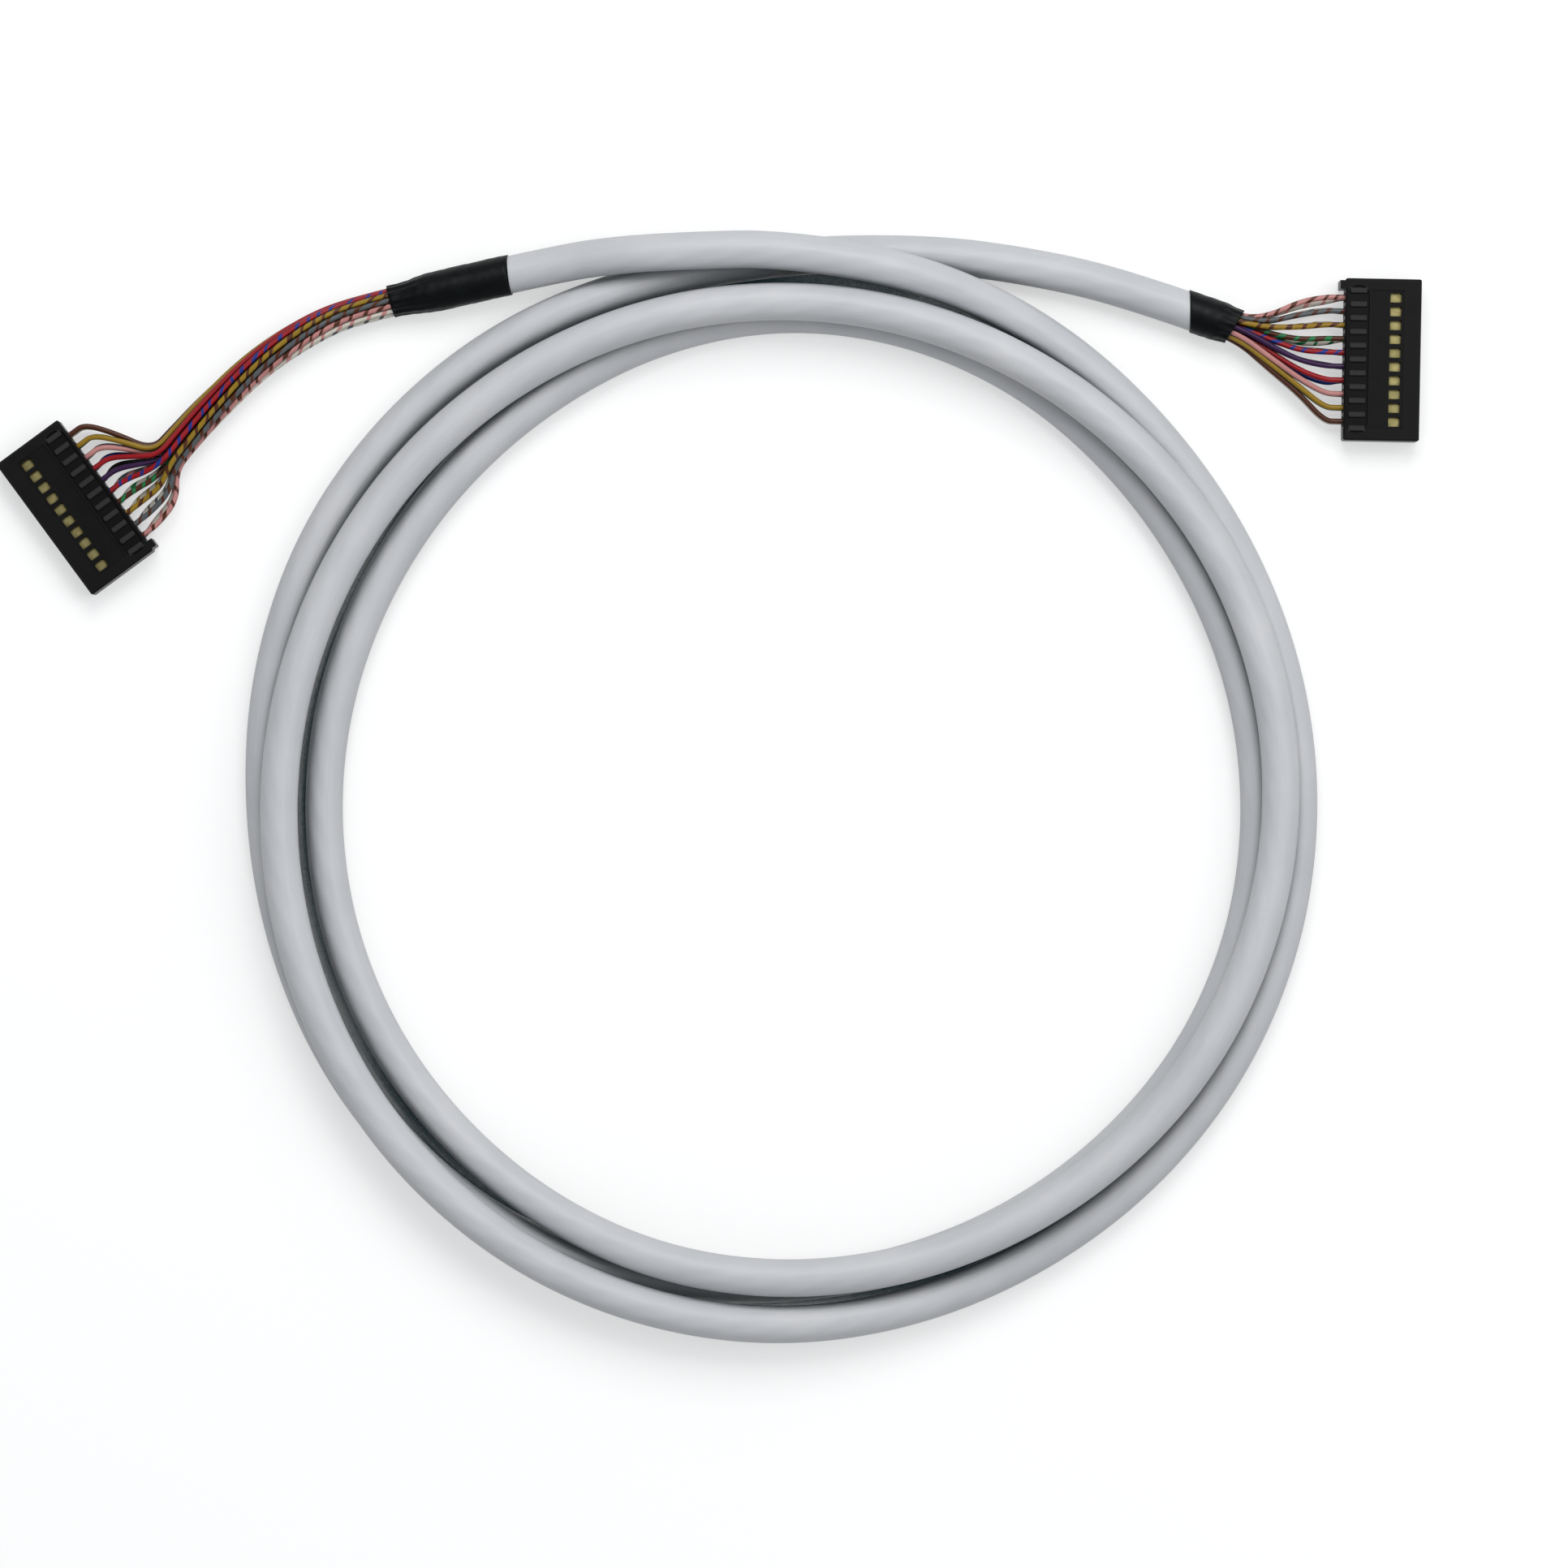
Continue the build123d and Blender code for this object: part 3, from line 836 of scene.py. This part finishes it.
@dataclass(frozen=True)
class CoreRoutes:
    """Routes of the twenty cores at one end, from the jacket's cut to the connector's slots.

    The lower cores' lean comes in over the first columns. Where it is to either side, it follows a
    wave with this step and start, in radians. The depths are those of the hole's first corners.
    """

    side: Side
    cable: CableRoute
    housing: HousingSizes = field(default_factory=HousingSizes)
    sway_step: float = 2.1
    sway_start: float = 1.55
    sway_columns: int = 4
    hole_depths: Pair = (-0.6, 1.0)

    @staticmethod
    def turned(spot: Pair, degrees: float) -> Pair:
        """A place in the bundle's cross-section after the bundle has turned."""
        c, s = math.cos(math.radians(degrees)), math.sin(math.radians(degrees))
        return spot[0] * c - spot[1] * s, spot[0] * s + spot[1] * c

    def pin_places(self, spots: list[Pair], turn: float) -> dict[int, tuple[int, int]]:
        """Gives each core a row and a column: the upper half of the neck feeds the upper row.

        Args:
            spots: Places of the cores in the bundle.
            turn: How far the bundle has turned at the neck, in degrees.

        Returns:
            Row and column by the core's number in the bundle.
        """
        neck = [self.turned(spot, turn) for spot in spots]
        by_height = sorted(range(len(spots)), key=lambda k: neck[k][1])
        places = {}
        for row in (0, 1):
            half = by_height[row * self.housing.columns:(row + 1) * self.housing.columns]
            for column, k in enumerate(sorted(half, key=lambda k: neck[k][0])):
                places[k] = (row, column)
        return places

    def sway(self, row: int, column: int) -> float:
        """Finds how far a core leans beside the upper row.

        Args:
            row: 0 for the lower row of the connector, 1 for the upper one, which doesn't lean.
            column: Column of the connector.

        Returns:
            A share of the lean, from -1 to 1.
        """
        share = (1 - row) * min(1.0, column / self.sway_columns)
        if PLACES[self.side].one_sided:
            return share
        return share * math.sin(self.sway_step * column + self.sway_start)

    def bundle_points(self, spot: Pair) -> Points:
        """Follows one core in the bundle, from the jacket's cut through the stations.

        Args:
            spot: The core's place in the bundle.

        Returns:
            Corners about the ring's centre.
        """
        place, height = PLACES[self.side], self.cable.sizes.neck_height
        tip, outward = self.cable.jacket_end(self.side)
        across = UP.cross(outward).normalized()
        side, up = self.turned(spot, place.jacket_deg)
        offset = across * side + outward.cross(across) * up
        middle = [tip + outward * place.lead] + [Vector((*xy, 0)) for xy, *_ in place.stations]
        points = [tip + offset, middle[0] + offset]
        for i, (xy, twist, loose) in enumerate(place.stations, start=1):
            ahead = middle[min(i + 1, len(place.stations))] - middle[i - 1]
            ahead = Vector((ahead.x, ahead.y, 0)).normalized()
            side, up = self.turned(spot, twist)
            points.append(Vector((*xy, height + up * loose)) + UP.cross(ahead) * side * loose)
        return points

    def fan_points(self, row: int, column: int, rise: float) -> Points:
        """Follows one core from the bundle over the fan's lines and into its slot.

        Args:
            row: 0 for the lower row of the connector, 1 for the upper one.
            column: Column of the connector.
            rise: How far it lay above the middle of its row's cores in the bundle.

        Returns:
            Corners about the ring's centre.
        """
        place, housing, sway = PLACES[self.side], self.housing, self.sway(row, column)
        last = housing.columns - 1
        points = [
            line.place((column - line.lean * sway) / last, row, rise) for line in place.lines]
        left_hand = UP.cross(place.mating)
        height = housing.thickness / 2 + (row - 0.5) * housing.pitch
        aside = left_hand * ((column - last / 2) * housing.pitch)
        slot = Vector((*place.middle, height)) + aside
        leaning = left_hand * -place.lean * sway * housing.pitch
        points.append(slot - place.mating * (place.entry + housing.depth / 2) + leaning)
        # the last three corners are in line, so that the core is straight in its hole
        for depth in (*self.hole_depths, housing.insertion):
            points.append(slot + place.mating * (depth - housing.depth / 2))
        return points

    def corners(self) -> dict[int, Points]:
        """Works out the corners of every core's route.

        Returns:
            Corners about the ring's centre, by pin number.
        """
        spots, neck_deg = self.cable.sizes.packing(), PLACES[self.side].neck_deg
        seats = self.pin_places(spots, neck_deg)
        heights = {k: self.turned(spots[k], neck_deg)[1] for k in seats}
        routes = {}
        for k, (row, column) in seats.items():
            alike = [heights[j] for j in seats if seats[j][0] == row]
            rise = heights[k] - sum(alike) / len(alike)
            routes[2 * column + 1 + row] = (
                self.bundle_points(spots[k]) + self.fan_points(row, column, rise))
        return routes


# ---- meshes


def spline_path(name: str, corners: Points, resolution: int) -> Points:
    """Reads the line of the smooth spline that has these control points.

    Args:
        name: Name for the curve while it is read.
        corners: Control points, in metres.
        resolution: Points for each stretch of the spline.

    Returns:
        Points along the spline, in metres.
    """
    curve = bpy.data.curves.new(name, "CURVE")
    curve.dimensions = "3D"
    curve.resolution_u = resolution
    spline = curve.splines.new("NURBS")
    spline.points.add(len(corners) - 1)
    for point, corner in zip(spline.points, corners):
        point.co = (*corner, 1.0)
    spline.order_u = 3
    spline.use_endpoint_u = True
    holder = bpy.data.objects.new(name, curve)
    line = bpy.data.meshes.new_from_object(holder)
    path = [v.co.copy() for v in line.vertices]
    bpy.data.meshes.remove(line)
    bpy.data.objects.remove(holder)
    bpy.data.curves.remove(curve)
    return path


def distances(path: Points) -> list[float]:
    """Distance along a path to each of its points."""
    steps = ((after - before).length for before, after in zip(path, path[1:]))
    return list(accumulate(steps, initial=0.0))


def sections(path: Points) -> list[tuple[Vector, Vector, Vector]]:
    """Carries a pair of cross directions along a path without twisting them.

    Args:
        path: Points along the path.

    Returns:
        At each point, the direction along the path and two directions across it.
    """
    rows = []
    across = None
    for i in range(len(path)):
        ahead = (path[min(i + 1, len(path) - 1)] - path[max(i - 1, 0)]).normalized()
        across = UP.cross(ahead) if across is None else across - ahead * across.dot(ahead)
        across.normalize()
        rows.append((ahead, across.copy(), ahead.cross(across)))
    return rows


@dataclass
class SweptMesh:
    """A surface swept along a path, ring by ring, with its route mapped to millimetres."""

    name: str
    path: Points
    sides: int
    slack: float = 1e-9  # metres that two equal distances may differ by

    def faces(self, starts: list[float]) -> tuple[list[tuple[int, ...]], list[float]]:
        """Joins the rings up and closes both ends.

        Args:
            starts: Place along the path of each ring, in metres.

        Returns:
            The faces, with the two ends last, and their places round and along the route.
        """
        faces, uvs = [], []
        for row, (start, end) in enumerate(zip(starts, starts[1:])):
            low, high = start / MM, end / MM
            a, b = row * self.sides, (row + 1) * self.sides
            for k in range(self.sides):
                after = (k + 1) % self.sides
                faces.append((a + k, a + after, b + after, b + k))
                left, right = k / self.sides, (k + 1) / self.sides
                uvs += [left, low, right, low, right, high, left, high]
        last = (len(starts) - 1) * self.sides
        faces.append(tuple(range(self.sides - 1, -1, -1)))
        faces.append(tuple(range(last, last + self.sides)))
        for start in (starts[0], starts[-1]):
            uvs += [0.0, start / MM] * self.sides
        return faces, uvs

    def build(self, rings: list[list[float]], starts: list[float] | None = None) -> Object:
        """Builds the mesh.

        Args:
            rings: For each ring, the radius at each side, in metres.
            starts: Place along the path of each ring, in metres, where there isn't one ring for
                each point of the path.

        Returns:
            The new object, with both ends closed.
        """
        frames, lengths = sections(self.path), distances(self.path)
        starts = lengths if starts is None else starts
        vertices = []
        for start, radii in zip(starts, rings):
            i = bisect_right(lengths, start + self.slack) - 1
            ahead, across, up = frames[i]
            middle = self.path[i] + ahead * (start - lengths[i])
            for k, radius in enumerate(radii):
                angle = 2 * math.pi * k / self.sides
                outward = across * math.cos(angle) + up * math.sin(angle)
                vertices.append(middle + outward * radius)
        faces, uvs = self.faces(starts)
        mesh = bpy.data.meshes.new(self.name)
        mesh.from_pydata(vertices, [], faces)
        mesh.uv_layers.new(name=ROUTE_UV).data.foreach_set("uv", uvs)
        mesh.polygons.foreach_set("use_smooth", [True] * (len(faces) - 2) + [False] * 2)
        return new_object(self.name, mesh)

    def tube(self, radius: float) -> Object:
        """Builds a plain round tube with one ring at each point of the path."""
        return self.build([[radius] * self.sides for _ in self.path])


def dress(piece: Object, slot: str, material: Material) -> None:
    """Puts a finish on a new piece and sets it on the part's one body.

    Args:
        piece: The piece.
        slot: Not used.
        material: The finish.
    """
    piece.data.materials.append(material)
    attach(piece, BODY)


# ---- sub-assemblies


@dataclass
class JacketedCable:
    """The grey cable from one jacket end to the other, in one piece."""

    route: CableRoute
    sides: int = 32
    resolution: int = 12

    def build(self) -> Points:
        """Returns:
            The cable's middle line, in metres.
        """
        path = spline_path("cable", self.route.placed(self.route.corners()), self.resolution)
        diameter = self.route.sizes.jacket * MM
        jacket = SweptMesh("jacket", path, self.sides).tube(diameter / 2)
        dress(jacket, "jacket_pvc", ExtrudedPvcJacket().material())
        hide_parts("cable_tail_left", "cable_coil", "cable_tail_right")
        length = distances(path)[-1]
        log.info("jacket: %.3f m of %.1f mm cable", length, diameter / MM)
        return path


CORE_CODE = tuple((hue, None) for hue in Hue) + (
    (Hue.GREY, Hue.PINK), (Hue.RED, Hue.BLUE), (Hue.WHITE, Hue.GREEN), (Hue.BROWN, Hue.GREEN),
    (Hue.WHITE, Hue.YELLOW), (Hue.YELLOW, Hue.BROWN), (Hue.WHITE, Hue.GREY),
    (Hue.GREY, Hue.BROWN), (Hue.WHITE, Hue.PINK), (Hue.PINK, Hue.BROWN),
)


@dataclass
class CoreFan:
    """The twenty coloured cores at one end of the cable."""

    side: Side
    route: CableRoute
    finishes: list[ExtrudedCoreInsulation]
    materials: list[Material]
    sides: int = 12
    resolution: int = 16
    shortest_cord: float = 40.0

    def build(self) -> None:
        """Builds every core. Those at the long end hang free."""
        diameter = self.route.sizes.core * MM
        for pin, corners in sorted(CoreRoutes(self.side, self.route).corners().items()):
            name = f"core_{self.side.value}_{pin:02d}"
            path = spline_path(name, self.route.placed(corners), self.resolution)
            core = SweptMesh(name, path, self.sides).tube(diameter / 2)
            dress(core, f"core_{self.finishes[pin - 1].name}", self.materials[pin - 1])
            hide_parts(f"wire_{self.side.value}_{pin:02d}")
            length = distances(path)[-1]
        log.info("cores %s: twenty of %.1f mm", self.side.value, diameter / MM)


@dataclass(frozen=True)
class SleeveCut:
    """How a sleeve is cut, in millimetres: its lengths over the jacket and over the cores, how far
    off square its two ends are in degrees, and how much wider than the bundle its mouth stays."""

    over_jacket: float
    over_cores: float
    jacket_cut_deg: float
    core_cut_deg: float
    slack: float


SLEEVES = {
    Side.LEFT: SleeveCut(
        over_jacket=12.6, over_cores=10.0, jacket_cut_deg=-6.0, core_cut_deg=3.0, slack=0.0),
    Side.RIGHT: SleeveCut(
        over_jacket=5.0, over_cores=3.8, jacket_cut_deg=19.0, core_cut_deg=-12.0, slack=0.45),
}


@dataclass
class ShrunkSleeve:
    """A sleeve shrunk over a jacket's end and the first stretch of its cores, in millimetres.

    The cores show through it as ribs. Its creases are the product of two waves, each given by its
    waves round the sleeve and radians per millimetre along it.
    """

    side: Side
    route: CableRoute
    cable_path: Points
    rib_height: float = 0.12
    rib_turn: float = 0.4
    rib_trough: float = 0.3
    crease_height: float = 0.05
    creases: tuple[tuple[int, float], ...] = ((3, 1.9), (2, 0.9))
    lip_share: float = 0.15
    overrun: float = 1.0
    sides: int = 78
    steps_jacket: int = 14
    steps_cores: int = 22
    steps_straight: int = 12
    steps_inside: int = 6

    @property
    def cut(self) -> SleeveCut:
        """Lengths and cuts of this sleeve."""
        return SLEEVES[self.side]

    def middle_line(self) -> Points:
        """Finds the sleeve's middle line.

        Returns:
            Points from the jacket outwards, in metres.
        """
        tip, outward = self.route.jacket_end(self.side)
        path = self.cable_path if self.side is Side.LEFT else self.cable_path[::-1]
        count = bisect_right(distances(path), self.cut.over_jacket * MM) + 1
        end = self.route.placed([tip])[0]
        reach = (self.cut.over_cores + self.overrun) * MM
        steps = range(1, self.steps_straight + 1)
        straight = [end + outward * reach * k / self.steps_straight for k in steps]
        return path[:count][::-1] + straight

    def profile(self) -> list[Pair]:
        """Works out the outside of the sleeve.

        Returns:
            Distances past the jacket's cut, and the radii there, in millimetres.
        """
        sizes, cut = self.route.sizes, self.cut
        wide = sizes.sleeve_radius
        mouth = min(wide, sizes.bundle_radius + cut.slack + sizes.sleeve_fit + sizes.sleeve_wall)
        steps = self.steps_jacket
        rows = [(cut.over_jacket * (k / steps - 1), wide) for k in range(steps)]
        for k in range(self.steps_cores + 1):
            t = k / self.steps_cores
            along = cut.over_cores * (1.5 * t * (1 - t) + t ** 3)
            rows.append((along, wide + (mouth - wide) * t * t * (3 - 2 * t)))
        return rows

    def ring(self, along: float, radius: float) -> list[float]:
        """Works out one ring of the outside, ribbed by the cores towards the wire end.

        Args:
            along: Distance past the jacket's cut, in millimetres.
            radius: Radius without ribs and creases, in millimetres.

        Returns:
            The radius at each side, in metres.
        """
        ribbed = max(0.0, along / self.cut.over_cores) * self.rib_height
        count = self.route.sizes.outer_ring
        ring = []
        for k in range(self.sides):
            angle = 2 * math.pi * k / self.sides
            rib = math.cos(count * (angle + self.rib_turn)) - self.rib_trough
            crease = math.prod(
                math.sin(waves * angle + rate * along) for waves, rate in self.creases)
            ring.append((radius + rib * ribbed + self.crease_height * crease) * MM)
        return ring

    def build(self) -> None:
        """Builds the sleeve. Both its rims show the wall's thickness."""
        path, profile = self.middle_line(), self.profile()
        start = distances(path)[-1] / MM - (self.cut.over_cores + self.overrun)
        outside = [self.ring(along, radius) for along, radius in profile]
        wall = self.route.sizes.sleeve_wall * MM
        lip = self.lip_share * wall
        deep = -self.steps_inside
        inside = [[r - wall for r in ring] for ring in (outside[0], outside[-1], outside[deep])]
        lips = [[r - lip for r in ring] for ring in (outside[0], outside[-1])]
        places = [along for along, _ in profile]
        rings = [inside[0], lips[0]] + outside[1:] + [lips[1], inside[1], inside[2]]
        starts = [places[0]] * 2 + places[1:] + [places[-1]] * 2 + [places[deep]]
        sleeve = SweptMesh(f"shrunk_sleeve_{self.side.value}", path, self.sides).build(
            rings, [(start + at) * MM for at in starts])
        self.slant(sleeve)
        dress(sleeve, "sleeve_polyolefin", ShrunkPolyolefinSleeve().material())
        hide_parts(f"sleeve_{self.side.value}")
        log.info("sleeve %s", self.side.value)

    def slant(self, sleeve: Object) -> None:
        """Leans both ends of the sleeve to the angles that they are cut at.

        Args:
            sleeve: The sleeve.
        """
        tip, outward = self.route.jacket_end(self.side)
        across = UP.cross(outward).normalized()
        origin = self.route.placed([tip])[0]
        over_cores, over_jacket = self.cut.over_cores * MM, self.cut.over_jacket * MM
        core_slope = math.tan(math.radians(self.cut.core_cut_deg))
        jacket_slope = math.tan(math.radians(self.cut.jacket_cut_deg))
        for vertex in sleeve.data.vertices:
            away = vertex.co - origin
            along = away.dot(outward)
            if along > 0:
                lean = core_slope * min(1.0, along / over_cores)
            else:
                lean = jacket_slope * min(1.0, -along / over_jacket)
            vertex.co -= outward * away.dot(across) * lean


@dataclass
class SocketConnector:
    """One connector: the moulded housing and its two rows of contacts, as the frame has them."""

    side: Side
    housing: Material
    contact: Material

    def dress(self) -> None:
        """Puts the finishes on the connector's solids."""
        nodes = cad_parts
        finishes = {
            f"connector_housing_{self.side.value}": self.housing,
            f"contacts_upper_{self.side.value}": self.contact,
            f"contacts_lower_{self.side.value}": self.contact,
        }
        for name, material in finishes.items():
            for slot in nodes[name].material_slots:
                slot.material = material
        log.info("connector %s", self.side.value)


@dataclass(frozen=True)
class SoftBox:
    """A square soft box: where it hangs, seen from the middle of the view, and how strong it is."""

    name: str
    azimuth_deg: float
    watts: float
    elevation_deg: float = 55.0
    distance: float = 1.3
    size: float = 0.7


SOFT_BOXES = (
    SoftBox("soft_box_north", azimuth_deg=5.0, watts=8.8),
    SoftBox("soft_box_east", azimuth_deg=72.0, watts=3.8),
)


@dataclass
class Studio:
    """White floor, two soft boxes and a long lens straight above the middle of the coil."""

    aim: Pair = (13.71, -66.23)
    view_width: float = 289.8
    camera_height: float = 1.4
    floor_width: float = 8.0
    floor_drop_mm: float = 0.05
    fill: float = 0.54
    reflected_fill: float = 0.1
    fill_colour: str = "#F5F8FB"

    def build(self) -> None:
        """Builds the floor, the lamps, the world and the camera."""
        self.floor()
        for box in SOFT_BOXES:
            self.lamp(box)
        self.world()
        self.camera()
        log.info("studio")

    def floor(self) -> None:
        """Adds the floor that the cable lies on."""
        half = self.floor_width / 2
        mesh = bpy.data.meshes.new("floor")
        mesh.from_pydata([(-half, -half, 0), (half, -half, 0), (half, half, 0), (-half, half, 0)],
                         [], [(0, 1, 2, 3)])
        mesh.materials.append(PaintedFloor().material())
        floor = new_object("floor", mesh)
        floor.location.z = -self.floor_drop_mm * MM

    def lamp(self, box: SoftBox) -> None:
        """Adds a square soft box that faces the middle of the view.

        Args:
            box: The soft box, with its azimuth counted clockwise from +Y.
        """
        light = bpy.data.lights.new(box.name, "AREA")
        light.size = box.size
        light.energy = box.watts
        azimuth, elevation = math.radians(box.azimuth_deg), math.radians(box.elevation_deg)
        level = math.cos(elevation)
        away = Vector((level * math.sin(azimuth), level * math.cos(azimuth), math.sin(elevation)))
        lamp = new_object(box.name, light)
        lamp.location = Vector((self.aim[0] * MM, self.aim[1] * MM, 0)) + away * box.distance
        lamp.rotation_euler = away.to_track_quat("Z", "Y").to_euler()

    def world(self) -> None:
        """Adds a nearly neutral fill from all round, weak in reflections and white where seen."""
        world = bpy.data.worlds.new("studio")
        world.use_nodes = True
        tree = world.node_tree
        tree.nodes.clear()
        rays = add_node(tree, "LightPath").outputs
        seen = rays["Is Camera Ray"]
        fill = spread(tree, rays["Is Glossy Ray"], (self.fill, self.reflected_fill))
        shader = add_node(tree, "Background", inputs={
            "Color": blend(tree, seen, linear(self.fill_colour), linear("#FFFFFF")),
            "Strength": maths(tree, "MAXIMUM", fill, seen)})
        add_node(tree, "OutputWorld", inputs={"Surface": shader.outputs[0]})
        bpy.context.scene.world = world

    def camera(self) -> None:
        """Adds a long lens straight above, wide enough for the coil and both connectors."""
        lens = bpy.data.cameras.new("camera")
        lens.sensor_width = 36.0
        lens.lens = lens.sensor_width * self.camera_height / (self.view_width * MM)
        lens.clip_start = 0.01
        camera = new_object("camera", lens)
        camera.location = (self.aim[0] * MM, self.aim[1] * MM, self.camera_height)
        bpy.context.scene.camera = camera


def main() -> None:
    """Builds every piece of the dressed cable and the studio around it."""
    logging.basicConfig(level=logging.INFO, format="%(name)s: %(message)s")
    bpy.context.scene.view_settings.view_transform = "Standard"
    Studio().build()
    route = CableRoute()
    cable_path = JacketedCable(route).build()
    finishes = [ExtrudedCoreInsulation(base, mark) for base, mark in CORE_CODE]
    materials = [finish.material() for finish in finishes]
    for side in Side:
        CoreFan(side, route, finishes, materials).build()
        ShrunkSleeve(side, route, cable_path).build()
    contact = StampedBronzeContact().material()
    for side in Side:
        SocketConnector(side, MouldedPbtHousing().material(side), contact).dress()


if __name__ == "__main__":
    main()
